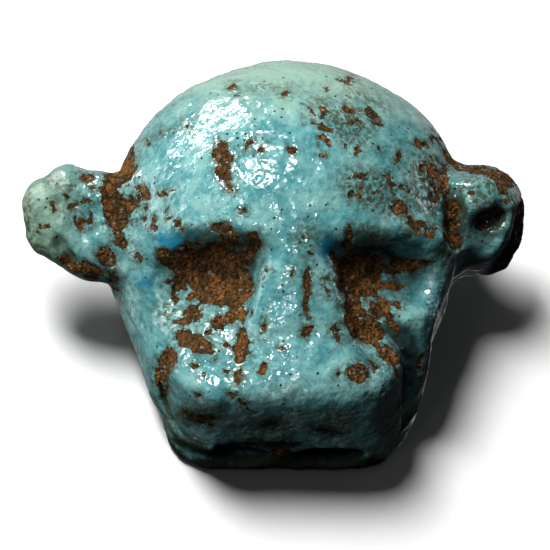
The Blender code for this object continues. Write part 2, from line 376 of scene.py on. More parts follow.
def head(x, y, z):
    """The whole bead, with its flat underside and its string hole."""
    form = ellipsoid(x, y, z, SKULL_CENTRE, SKULL_RADII)
    for side in (-1, 1):
        form = join(form, brow(x, y, z, side), FILLET)
    form = join(form, cheeks(x, y, z), SOFT_FILLET)
    form = carve(form, ellipsoid(x, y, z, *RIGHT_HOLLOW), FILLET)
    form = join(form, jaw(x, y, z), TIGHT_FILLET)
    form = join(form, muzzle(x, y, z), TIGHT_FILLET)
    for side in (-1, 1):
        form = carve(form, eye_socket(x, y, z, side), SOFT_FILLET)
    form = join(form, left_ear(x, y, z), FILLET)
    form = join(form, right_ear(x, y, z), FILLET)
    form = carve(form, rod(*ear_axes(x, y, z, 1), *RIGHT_EAR_ROOT), CRISP_FILLET)
    form = join(form, bridge(x, y, z), TIGHT_FILLET)
    for groove in GROOVES:
        for start, end in zip(groove, groove[1:]):
            form = carve(form, rod(x, y, z, start, end), TIGHT_FILLET)
    for middle, half_width in MOUTHS:
        form = carve(form, mouth(x, y, z, middle, half_width), TIGHT_FILLET)
    form = carve(form, bore(y, z), CRISP_FILLET)
    return carve(form, z - BASE, CRISP_FILLET)


def form_mesh(name, form):
    """Closed mesh of a form's surface, in millimetres."""
    lowest = LOW - MARGIN
    counts = np.ceil((HIGH + MARGIN - lowest) / VOXEL).astype(int) + 1
    axes = [(start + VOXEL * np.arange(count)).astype(np.float32) for start, count in zip(lowest, counts)]
    distances = form(*np.meshgrid(*axes, indexing="ij", sparse=True))
    grid = openvdb.FloatGrid(background=MARGIN)
    grid.copyFromArray(np.clip(distances, -MARGIN, MARGIN).astype(np.float32))
    points, quads = grid.convertToQuads(0.0)
    mesh = bpy.data.meshes.new(name)
    mesh.from_pydata((points * VOXEL + lowest).tolist(), [], quads.tolist())
    return mesh


def noise(points, size, seed):
    """Smooth random values from -1 to 1, with one lump to each size in millimetres."""
    period = 32
    lattice = np.random.default_rng(seed).uniform(-1.0, 1.0, (period, period, period))
    cells = points / size
    base = np.floor(cells).astype(int)
    share = ease(cells - base)
    total = np.zeros(len(points))
    for corner in np.ndindex(2, 2, 2):
        weight = np.prod(np.where(corner, share, 1.0 - share), axis=1)
        total += weight * lattice[tuple(((base + corner) % period).T)]
    return total


def noises(points, layers):
    """Sum of noises, each given by its (reach, size, seed)."""
    return sum(reach * noise(points, size, seed) for reach, size, seed in layers)


# Places where the glaze is worn through, on the face plane: (across, up, half length, half width, turn in
# degrees).
WORN = {
    "left ear root": (
        (-7.4, 7.35, 0.4, 0.12, 60), (-7.2, 6.4, 0.55, 0.14, 74), (-7.5, 6.8, 0.3, 0.12, 40),
        (-7.95, 6.1, 0.9, 0.4, 65), (-8.1, 4.65, 1.0, 0.42, 95), (-7.8, 3.8, 0.55, 0.2, -5),
        (-7.2, 4.6, 0.42, 0.2, 50), (-7.85, 3.3, 0.35, 0.1, 90), (-7.7, 2.7, 0.28, 0.22, 0),
        (-6.6, 5.2, 0.42, 0.2, -55),
    ),
    "left ear": (
        (-9.43, 5.95, 0.42, 0.18, -5), (-9.08, 5.42, 0.22, 0.08, 0), (-10.38, 5.08, 0.13, 0.13, 0),
        (-11.05, 4.55, 0.32, 0.1, -80), (-9.8, 4.65, 0.45, 0.07, 27), (-10.23, 4.4, 0.13, 0.12, 0),
        (-9.43, 4.8, 0.16, 0.13, 0), (-10.03, 3.95, 0.2, 0.12, 75), (-10.55, 1.9, 0.4, 0.2, -25),
        (-9.7, 1.4, 1.0, 0.22, -28), (-9.15, 1.45, 0.55, 0.3, -30), (-8.4, 1.95, 0.6, 0.4, -45),
        (-8.2, 0.9, 0.5, 0.08, -70), (-7.93, 0.7, 0.5, 0.07, -75),
    ),
    "forehead": (
        (-2.73, 7.2, 0.62, 0.33, 90), (-2.3, 6.93, 0.28, 0.18, 0), (-2.55, 6.2, 0.5, 0.42, 90),
        (-2.33, 5.6, 0.42, 0.2, -55), (-1.3, 7.65, 0.35, 0.13, 65), (-0.75, 7.35, 0.22, 0.1, 60),
        (-1.58, 4.23, 0.16, 0.14, 0), (-2.15, 10.5, 0.25, 0.09, 8), (-1.85, 10.1, 0.13, 0.08, 0),
        (0.5, 10.1, 0.22, 0.12, 0), (2.55, 10.4, 0.1, 0.1, 0), (-4.4, 8.53, 0.18, 0.08, -70),
        (-5.78, 8.3, 0.2, 0.1, 15), (-6.35, 7.78, 0.14, 0.12, 0), (-5.6, 5.2, 0.18, 0.15, 0),
        (-5.4, 4.35, 0.14, 0.11, 0), (-5.08, 5.4, 0.13, 0.12, 0), (-5.24, 3.94, 0.15, 0.11, 0),
        (-4.8, 3.73, 0.18, 0.15, 0), (-4.55, 3.38, 0.14, 0.12, 0), (-6.5, 3.95, 0.16, 0.11, 0),
        (-6.06, 3.95, 0.14, 0.1, 10), (-6.47, 4.42, 0.13, 0.11, 0), (-6.06, 3.45, 0.22, 0.15, 25),
        (-2.7, 3.4, 0.4, 0.2, 10), (-6.85, 2.0, 0.28, 0.13, -50),
    ),
    "left eye": (
        (-5.33, 2.0, 0.5, 0.3, -50), (-3.2, 1.92, 2.0, 0.5, 0), (-1.1, 2.55, 0.6, 0.3, 75),
        (-4.3, 1.15, 0.8, 0.45, -30), (-3.7, 0.2, 0.6, 0.3, -50), (-2.4, 0.65, 1.3, 1.1, 0),
    ),
    "below the left eye": (
        (-4.1, -0.8, 0.5, 0.4, 50), (-2.0, -0.75, 0.7, 0.35, 60), (-4.65, -1.25, 0.55, 0.18, 0),
        (-2.85, -1.25, 0.45, 0.4, 0), (-1.63, -2.45, 0.95, 0.42, 88), (-1.8, -3.9, 0.42, 0.26, 85),
        (-4.0, -2.25, 1.05, 0.45, -22), (-3.3, -1.8, 0.2, 0.15, 0), (-5.5, -3.45, 1.05, 0.42, 62),
        (-5.5, -4.65, 0.5, 0.12, 75), (-3.06, -3.1, 0.1, 0.09, 0), (-3.98, -3.38, 0.16, 0.12, 0),
        (-3.55, -3.85, 0.1, 0.1, 0), (-2.37, -3.58, 0.16, 0.14, 0), (-2.43, -2.35, 0.22, 0.14, 85),
        (-0.56, -1.4, 0.5, 0.1, 85), (-0.42, 1.33, 0.13, 0.1, 0), (-0.62, 0.95, 0.1, 0.08, 0),
        (0.8, 1.13, 0.18, 0.08, 80), (0.35, -2.55, 0.13, 0.09, 0),
    ),
    "bridge": (
        (1.6, 0.85, 0.75, 0.17, 88), (1.58, -0.3, 0.75, 0.14, 88), (1.55, -1.65, 0.38, 0.25, 60),
        (2.95, -1.5, 0.2, 0.17, 0), (3.2, -1.95, 0.28, 0.1, -60), (1.35, 2.98, 0.1, 0.1, 0),
        (1.69, 2.14, 0.12, 0.1, 0), (2.5, 1.0, 0.12, 0.1, 0), (2.5, 0.22, 0.28, 0.05, -65),
        (3.18, -0.33, 0.15, 0.07, -45), (2.9, 2.1, 0.25, 0.15, -60),
    ),
    "right eye": (
        (4.2, 1.5, 1.2, 0.65, 0), (6.55, 1.5, 1.05, 0.28, 4), (4.2, 0.65, 1.1, 0.6, 0),
        (3.9, -0.75, 0.9, 0.45, -80), (4.55, -1.55, 0.95, 0.6, -40), (5.6, -2.9, 0.5, 0.4, -30),
    ),
    "below the right eye": (
        (3.68, 2.9, 0.8, 0.28, 88), (5.8, 0.65, 0.75, 0.27, -2), (5.0, -0.6, 0.45, 0.3, -60),
        (6.15, -0.35, 0.38, 0.18, -35), (5.65, -0.9, 1.25, 0.28, -62), (5.1, -2.45, 0.4, 0.2, -60),
        (5.95, -3.7, 0.4, 0.12, -65), (4.8, -3.4, 0.38, 0.12, -60), (4.15, -3.8, 0.65, 0.42, -12),
        (3.18, -3.8, 0.17, 0.12, 0), (7.23, -3.15, 0.42, 0.15, 80),
    ),
    "right ear": (
        (8.85, 6.85, 0.75, 0.2, -50), (9.65, 6.45, 0.55, 0.24, -20), (10.75, 6.25, 1.1, 0.32, -10),
        (11.6, 5.9, 0.5, 0.35, -30), (11.25, 5.55, 0.5, 0.22, -65), (11.45, 5.2, 0.3, 0.14, -40),
        (11.4, 4.8, 0.13, 0.11, 0), (8.5, 5.6, 1.0, 0.2, 90), (8.85, 4.45, 0.38, 0.32, 0),
        (8.8, 3.75, 0.6, 0.4, 80), (8.9, 2.85, 0.55, 0.38, -50), (9.72, 5.18, 0.17, 0.12, 0),
        (10.4, 3.55, 0.38, 0.28, 0), (11.2, 3.9, 0.55, 0.13, 38), (12.2, 3.6, 1.6, 0.3, 80),
    ),
    "muzzle": (
        (-4.15, -5.9, 0.5, 0.16, -30), (-3.25, -5.85, 0.4, 0.17, 20), (-3.5, -6.25, 0.35, 0.08, 0),
        (-2.03, -4.8, 0.25, 0.13, -20), (-3.7, -4.8, 0.18, 0.12, 0), (-1.5, -5.35, 0.35, 0.06, -52),
        (0.3, -7.75, 0.5, 0.35, 0),
    ),
}

# Groups whose places spread and run together into larger ones. Each pair is (fillet, growth).
RUNNING_TOGETHER = ("left ear root", "left eye", "right eye")
TOGETHER = (0.4, 0.07)
APART = (0.15, 0.0)

# Places where the wear is broken up: glaze and core in small pieces.
BROKEN = {
    "right brow": (
        (4.1, 5.85, 0.4, 0.32, 0), (4.75, 5.95, 0.45, 0.17, -5), (4.13, 5.2, 0.35, 0.12, 88),
        (4.95, 5.25, 0.22, 0.18, 0), (5.55, 6.08, 0.2, 0.18, 0), (5.8, 5.7, 0.28, 0.17, 0),
        (3.6, 4.95, 0.2, 0.15, 0), (6.1, 4.4, 0.4, 0.33, -40), (6.55, 3.85, 0.5, 0.28, -40),
        (7.7, 5.0, 0.42, 0.13, -50),
    ),
    "crown": (
        (2.35, 9.2, 0.45, 0.15, 90), (2.6, 8.3, 0.35, 0.18, 10), (2.4, 7.85, 0.3, 0.22, -45),
        (2.38, 7.15, 0.16, 0.12, 0), (3.9, 8.7, 0.35, 0.24, -50), (4.7, 9.15, 0.3, 0.12, 90),
        (4.95, 8.8, 0.35, 0.13, -35), (3.53, 7.6, 0.12, 0.12, 0), (4.05, 7.3, 0.22, 0.12, 45),
        (7.3, 7.7, 0.3, 0.17, 0), (8.1, 7.85, 0.35, 0.17, -45), (7.6, 6.75, 0.2, 0.14, 0),
    ),
    "elsewhere": (
        (-3.5, 2.55, 1.2, 0.3, 0), (-2.2, 2.9, 0.8, 0.3, -10), (-4.6, 0.5, 0.75, 0.6, -60),
        (-1.7, -0.85, 0.45, 0.3, 0), (3.7, 10.85, 0.4, 0.25, -25), (1.85, 9.1, 0.3, 0.45, 0),
        (3.8, 9.3, 0.5, 0.3, -50), (5.2, 7.3, 0.15, 0.15, 0), (11.7, 2.0, 1.2, 0.4, 60),
        (6.03, 7.03, 0.3, 0.2, 0), (7.25, 3.4, 0.8, 0.3, -15), (6.35, 5.4, 0.3, 0.25, 0),
        (-9.45, 3.7, 0.4, 0.3, 60), (-11.6, 3.5, 0.3, 0.2, 0), (-0.56, -3.5, 0.28, 0.25, 0),
        (0.8, 7.4, 0.3, 0.3, 0), (7.9, 6.0, 0.5, 0.9, 10),
    ),
}

# Places where the glaze has brown stains, with painted shade among them; where it has grime, with painted
# shade and shadow among them; and where it has white scuffs, with painted sheen among them.
# Brown stains, with painted shade on the right brow and temple, which turn away from the light.
STAINED_AND_SHADED = (
    (4.9, 5.3, 1.9, 1.0, -25), (3.6, 8.5, 1.4, 0.9, -30), (6.6, 3.9, 1.0, 0.6, -35),
    (7.4, 5.6, 0.9, 1.7, 12), (-9.5, 3.9, 0.6, 0.6, 0), (-3.7, -5.9, 1.4, 0.6, 0),
    (-0.4, -6.5, 1.9, 0.4, 0), (2.3, 9.7, 0.6, 0.3, 0), (1.5, 3.0, 0.8, 0.5, 60),
    (-5.2, -0.9, 0.9, 0.6, -40), (5.4, -3.2, 0.9, 0.5, -50), (7.0, -3.3, 0.2, 1.2, 10),
    (10.6, 5.2, 1.7, 1.1, -20), (10.4, 3.5, 1.3, 0.8, 20), (8.6, 2.6, 0.4, 0.9, 0),
    (-10.9, 5.8, 1.2, 0.4, -15), (-5.3, -6.6, 0.4, 1.2, 0), (-3.8, 2.5, 1.2, 0.3, 0),
    (4.6, 2.9, 1.2, 0.4, 0), (2.8, -6.2, 1.2, 0.5, 20), (5.6, -6.0, 0.5, 1.4, 0), (4.3, 2.9, 0.9, 0.7, 0),
    (-2.5, 2.9, 1.2, 0.35, 0), (12.0, 5.2, 0.5, 1.2, 10), (9.5, 4.3, 0.5, 0.9, 0),
    (-12.3, 4.0, 0.3, 1.8, 0), (-11.6, 2.2, 0.9, 0.25, -50), (-0.3, 10.4, 1.0, 0.12, 0),
    (4.6, 9.9, 1.0, 0.2, -25), (-5.4, 8.2, 0.9, 0.1, 30),
)
# Grime, and painted shade: the jaw under the muzzle's overhang and the mouth are darkened, and a painted
# shadow lies below the right brow.
GRIMY_AND_SHADED = (
    (-3.7, -6.0, 0.8, 0.2, 0), (11.3, 1.6, 1.5, 0.4, 55), (-5.3, -7.6, 1.2, 0.4, -40),
    (-0.2, -6.3, 0.5, 0.15, 20), (2.6, -6.6, 0.7, 0.12, -10), (0.5, -8.6, 7.0, 0.75, 0),
    (-6.0, -6.0, 1.6, 0.2, -65), (6.35, -4.6, 0.9, 0.05, 83), (4.6, 2.4, 0.9, 0.12, 0),
    (5.9, 1.95, 0.6, 0.1, -30), (-0.6, -7.3, 2.0, 0.2, 0), (-4.0, -7.5, 1.3, 0.3, -20),
)
# Scuffs, and painted sheen: the pale streaks along the right cheek's ridge and the muzzle's right edge stand
# for light caught there.
SCUFFED_AND_SHEEN = (
    (0.8, -4.6, 1.6, 0.35, 3), (-7.5, 0.2, 1.9, 0.35, -72), (8.4, 0.1, 1.3, 0.22, 76),
    (-7.1, 2.6, 0.5, 0.3, 90), (7.6, -2.9, 1.9, 0.2, 79), (7.7, -0.6, 0.7, 0.06, 95),
    (6.2, -4.5, 0.8, 0.12, -88), (5.2, -4.3, 0.8, 0.3, -80), (7.5, -3.6, 1.5, 0.12, 79),
    (8.8, 1.8, 0.6, 0.2, 55), (12.0, 2.6, 1.2, 0.15, 72), (-7.0, -0.9, 1.2, 0.25, -75),
)

# Places where the glaze lies thicker and darker, which also paint shade under the brows and along the right
# cheek's edge, and where it is deep blue.
THICK_GLAZE_AND_SHADE = (
    (-3.2, 2.95, 1.7, 0.45, 0), (7.85, -0.9, 1.8, 0.15, 76), (5.7, 2.75, 1.5, 0.3, -5),
    (2.7, 2.5, 0.3, 0.5, 20), (5.9, 2.2, 1.2, 0.3, -5),
)
BLUE = ((-5.2, 2.75, 0.6, 0.3, -25), (-6.5, 0.75, 0.35, 0.2, 30), (2.7, 2.3, 0.2, 0.4, 30))

MARKS = {"deep": THICK_GLAZE_AND_SHADE, "blue": BLUE, "stained_and_shaded": STAINED_AND_SHADED, "grimy_and_shaded": GRIMY_AND_SHADED, "scuffed_and_sheen": SCUFFED_AND_SHEEN}

# The left ear's glaze is paler and duller out from here.
DULL_EDGE = -9.0
DULL_SPREAD = 2.5
DULL_MOST = 0.75

# Noises, each (reach, size of its lumps, seed). These two make the outlines of the worn places stray.
STRAY_ACROSS = ((0.12, 0.8, 1), (0.08, 0.35, 3))
STRAY_UP = ((0.12, 0.8, 2), (0.08, 0.35, 4))

# Grit makes the worn places' outlines ragged, and breaks up the whole of the broken ones.
UNWORN = 2.0  # distance to them beyond which it makes no difference
GRIT_SIZE = 0.27
GRIT_SEED = 7
GRIT_REACH = 0.08
BROKEN_GRIT_REACH = 0.26
BROKEN_DEPTH = 0.12  # greatest distance inside a broken place that counts
BROKEN_SHRINKAGE = 0.04

# Sides that face away from the face plane are worn at random. The string hole and its rim are bare.
HIDDEN_WEAR = ((0.9, 2.6, 11), (0.35, 0.9, 12), (0.12, 0.3, 13))
HIDDEN_COVER = 0.55  # how far from bare they are on average
HIDDEN_EDGE = 0.12  # how far past edge-on the marks of the face give way to them
RIM_WIDTH = 0.1

# Noises for the lumps of the whole surface, and for the finer ones of the bare core, which lies lower.
SURFACE_LUMPS = ((0.06, 2.6, 21), (0.035, 1.1, 22), (0.04, 0.6, 23), (0.02, 0.3, 25))
CORE_LUMPS = ((0.06, 0.3, 24),)
CORE_LUMPS_EDGE = 0.1
GLAZE_THICKNESS = 0.04
GLAZE_SLOPE = 0.2

# How far ahead of the surface its hollows are felt for: wide ones, where glaze pools and shade is painted,
# and narrow ones, which are darkened brown.
POOL_AND_SHADE_REACH = 1.2
CREVICE_REACH = 0.4
REACH_RATIO = 4.0  # of each reach to the shorter one that it is compared with
NEAREST = 0.01  # shortest distance that is reckoned with


def patch(across, up, place):
    """Distance to one elliptical patch on the face plane."""
    middle, height, half_length, half_width, turn = place
    c, s = math.cos(math.radians(turn)), math.sin(math.radians(turn))
    px = (across - middle) * c + (up - height) * s
    py = (up - height) * c - (across - middle) * s
    level = np.hypot(px / half_length, py / half_width)
    slope = np.hypot(px / half_length**2, py / half_width**2)
    return level * (level - 1.0) / np.maximum(slope, TINY)


def wear(points, facing):
    """Distance in millimetres to the worn places, below zero where the core shows."""
    across = points[:, 0] + noises(points, STRAY_ACROSS)
    up = points @ FACE_UP + noises(points, STRAY_UP)
    worn = np.full(len(points), UNWORN)
    for name, places in WORN.items():
        fillet, growth = TOGETHER if name in RUNNING_TOGETHER else APART
        for place in places:
            worn = join(worn, patch(across, up, place) - growth, fillet)
    broken = np.minimum.reduce([patch(across, up, place) for places in BROKEN.values() for place in places])
    grit = noise(points, GRIT_SIZE, GRIT_SEED)
    broken = np.maximum(broken, -BROKEN_DEPTH) + BROKEN_SHRINKAGE + BROKEN_GRIT_REACH * grit
    worn = np.minimum(worn, broken) + GRIT_REACH * grit
    hidden = HIDDEN_COVER + noises(points, HIDDEN_WEAR)
    seen = ease(facing / HIDDEN_EDGE + 1.0)
    rim = bore(points[:, 1], points[:, 2]) - RIM_WIDTH
    return np.minimum(worn * seen + hidden * (1.0 - seen), rim)


def hollowness(points, normals, reach):
    """How closed in the space before each point is, from 0 on open ground to 1 in a deep hollow."""
    near, far = [head(*(points + normals * ahead).T) for ahead in (reach / REACH_RATIO, reach)]
    return np.clip(1.0 - far / (REACH_RATIO * np.maximum(near, NEAREST)), 0.0, 1.0)


def vectors(data, name):
    """A property of the mesh's vertices, as one row of three numbers for each."""
    values = np.empty(len(data) * 3, np.float32)
    data.foreach_get(name, values)
    return values.reshape(-1, 3).astype(float)


def add_value(mesh, name, values):
    """One number for each vertex, which the material reads."""
    mesh.attributes.new(name, "FLOAT", "POINT").data.foreach_set("value", values.astype(np.float32))


def mark(mesh, points, normals):
    """Adds what the material reads, apart from the wear: dullness, marks and hollows."""
    across = points[:, 0]
    up = points @ FACE_UP
    add_value(mesh, "dull", DULL_MOST * ease((DULL_EDGE - across) / DULL_SPREAD))
    for name, places in MARKS.items():
        add_value(mesh, name, np.minimum.reduce([patch(across, up, place) for place in places]))
    # Hollows darken the glaze, as glaze lying thicker there and as painted shade.
    add_value(mesh, "pool_and_shade", hollowness(points, normals, POOL_AND_SHADE_REACH))
    add_value(mesh, "crevice", hollowness(points, normals, CREVICE_REACH))


def roughen(mesh, points, normals, worn):
    """Moves the surface: lumps all over, and the worn places sunk and gritty."""
    lumps = noises(points, SURFACE_LUMPS)
    sunk = GLAZE_THICKNESS * ease(0.5 - worn / GLAZE_SLOPE)
    grain = noises(points, CORE_LUMPS) * ease(-worn / CORE_LUMPS_EDGE)
    moved = points + normals * (lumps - sunk + grain)[:, None]
    moved[:, 2] = np.maximum(moved[:, 2], BASE)
    mesh.vertices.foreach_set("co", (moved * MM).ravel())
    mesh.update()
    mesh.shade_smooth()


def make_bead():
    """The bead, in metres, with its wear and marks."""
    mesh = form_mesh("bead", head)
    points = vectors(mesh.vertices, "co")
    normals = vectors(mesh.vertex_normals, "vector")
    worn = wear(points, normals @ FACE_OUT)
    add_value(mesh, "worn", worn)
    mark(mesh, points, normals)
    roughen(mesh, points, normals, worn)
    bead = bpy.data.objects.new("bead", mesh)
    bpy.context.scene.collection.objects.link(bead)
    return bead


class Nodes:
    """A material's node tree. The methods after `put` add nodes and return what comes out of them."""

    def __init__(self, name):
        self.material = bpy.data.materials.new(name)
        self.material.use_nodes = True
        self.tree = self.material.node_tree
        self.shader = self.tree.nodes["Principled BSDF"]
        self.place = self.add("ShaderNodeTexCoord").outputs["Object"]

    def add(self, kind, **settings):
        """A new node."""
        made = self.tree.nodes.new(kind)
        for name, value in settings.items():
            setattr(made, name, value)
        return made

    def put(self, socket, value):
        """A socket takes a number or a colour, or is joined to another node's output."""
        if isinstance(value, bpy.types.NodeSocket):
            self.tree.links.new(value, socket)
        else:
            socket.default_value = value

    def value(self, name):
        """One of the numbers that the mesh holds for each vertex."""
        return self.add("ShaderNodeAttribute", attribute_name=name).outputs["Fac"]

    def math(self, operation, a, b=0.0, c=0.0):
        """Sum on up to three numbers."""
        made = self.add("ShaderNodeMath", operation=operation)
        for socket, number in zip(made.inputs, (a, b, c)):
            self.put(socket, number)
        return made.outputs[0]

    def dot(self, a, b):
        """Dot product of two vectors."""
        made = self.add("ShaderNodeVectorMath", operation="DOT_PRODUCT")
        self.put(made.inputs[0], a)
        self.put(made.inputs[1], b)
        return made.outputs["Value"]

    def noise(self, size, detail=2.0, roughness=0.5, distortion=0.0, offset=0.0):
        """Fractal noise from 0 to 1, with lumps of a size in millimetres."""
        made = self.add("ShaderNodeTexNoise", noise_dimensions="4D")
        self.put(made.inputs["Vector"], self.place)
        self.put(made.inputs["W"], offset)
        self.put(made.inputs["Scale"], 1.0 / (size * MM))
        self.put(made.inputs["Detail"], detail)
        self.put(made.inputs["Roughness"], roughness)
        self.put(made.inputs["Distortion"], distortion)
        return made.outputs["Fac"]

    def cells(self, size):
        """Distance to the nearest of scattered points, as a share of their spacing, and its random value."""
        made = self.add("ShaderNodeTexVoronoi")
        self.put(made.inputs["Vector"], self.place)
        self.put(made.inputs["Scale"], 1.0 / (size * MM))
        split = self.add("ShaderNodeSeparateColor")
        self.put(split.inputs[0], made.outputs["Color"])
        return made.outputs["Distance"], split.outputs[0]

    def spots(self, size, outer, inner, rarity, strength=1.0):
        """Round spots at the points whose random value is above the rarity, fading from inner to outer."""
        distance, chance = self.cells(size)
        spot = self.ramp(distance, outer, inner, 0.0, strength)
        return self.math("MULTIPLY", spot, self.math("GREATER_THAN", chance, rarity))

    def ramp(self, value, start, end, low=0.0, high=1.0):
        """Smooth step from low, where the value is at start, to high, where it is at end."""
        made = self.add("ShaderNodeMapRange", interpolation_type="SMOOTHSTEP")
        self.put(made.inputs["Value"], value)
        self.put(made.inputs["From Min"], start)
        self.put(made.inputs["From Max"], end)
        self.put(made.inputs["To Min"], low)
        self.put(made.inputs["To Max"], high)
        return made.outputs["Result"]

    def mix(self, share, a, b):
        """Between two colours."""
        made = self.add("ShaderNodeMix", data_type="RGBA")
        self.put(made.inputs["Factor"], share)
        self.put(made.inputs[6], a)
        self.put(made.inputs[7], b)
        return made.outputs[2]

    def between(self, share, a, b):
        """Between two numbers."""
        made = self.add("ShaderNodeMix", data_type="FLOAT")
        self.put(made.inputs["Factor"], share)
        self.put(made.inputs[2], a)
        self.put(made.inputs[3], b)
        return made.outputs[0]

    def bump(self, height, distance, under=None, strength=1.0):
        """Normal bent by a height from 0 to 1, which stands for a distance in millimetres."""
        made = self.add("ShaderNodeBump")
        self.put(made.inputs["Strength"], strength)
        self.put(made.inputs["Height"], height)
        self.put(made.inputs["Distance"], distance * MM)
        if under:
            self.put(made.inputs["Normal"], under)
        return made.outputs["Normal"]


def colour(red, green, blue):
    """Opaque colour."""
    return (red, green, blue, 1.0)


# Glaze and core, as linear colours.
# The first colour is glaze that lies thicker, and also the painted shade in hollows, under the brows and
# along the right cheek's edge.
DEEP_GLAZE_AND_SHADE = colour(0.004, 0.032, 0.042)
BLUE_GLAZE = colour(0.002, 0.085, 0.14)
TEAL_GLAZE = colour(0.024, 0.115, 0.124)
GLAZE = colour(0.05, 0.17, 0.18)
PALE_GLAZE = colour(0.11, 0.24, 0.23)
GREEN_GLAZE = colour(0.19, 0.29, 0.22)
DULL_GLAZE = colour(0.12, 0.195, 0.13)
# Olive brown, for stains, for creases and for painted shade.
STAIN_AND_SHADE = colour(0.032, 0.035, 0.014)
# Near black, for grime and for painted shade and shadow.
GRIME_AND_SHADE = colour(0.007, 0.01, 0.006)
# Whitish, for scuffs and for painted sheen on ridges.
SCUFF_AND_SHEEN = colour(0.3, 0.38, 0.355)
PINHOLE = colour(0.012, 0.016, 0.012)
DARK_CORE = colour(0.016, 0.011, 0.005)
CORE = colour(0.075, 0.041, 0.015)
RUST_CORE = colour(0.22, 0.09, 0.022)
QUARTZ = colour(0.3, 0.26, 0.2)

# The floor is a board with a faint grain.
BOARD = colour(0.72, 0.72, 0.72)
PALE_BOARD = colour(0.76, 0.76, 0.76)


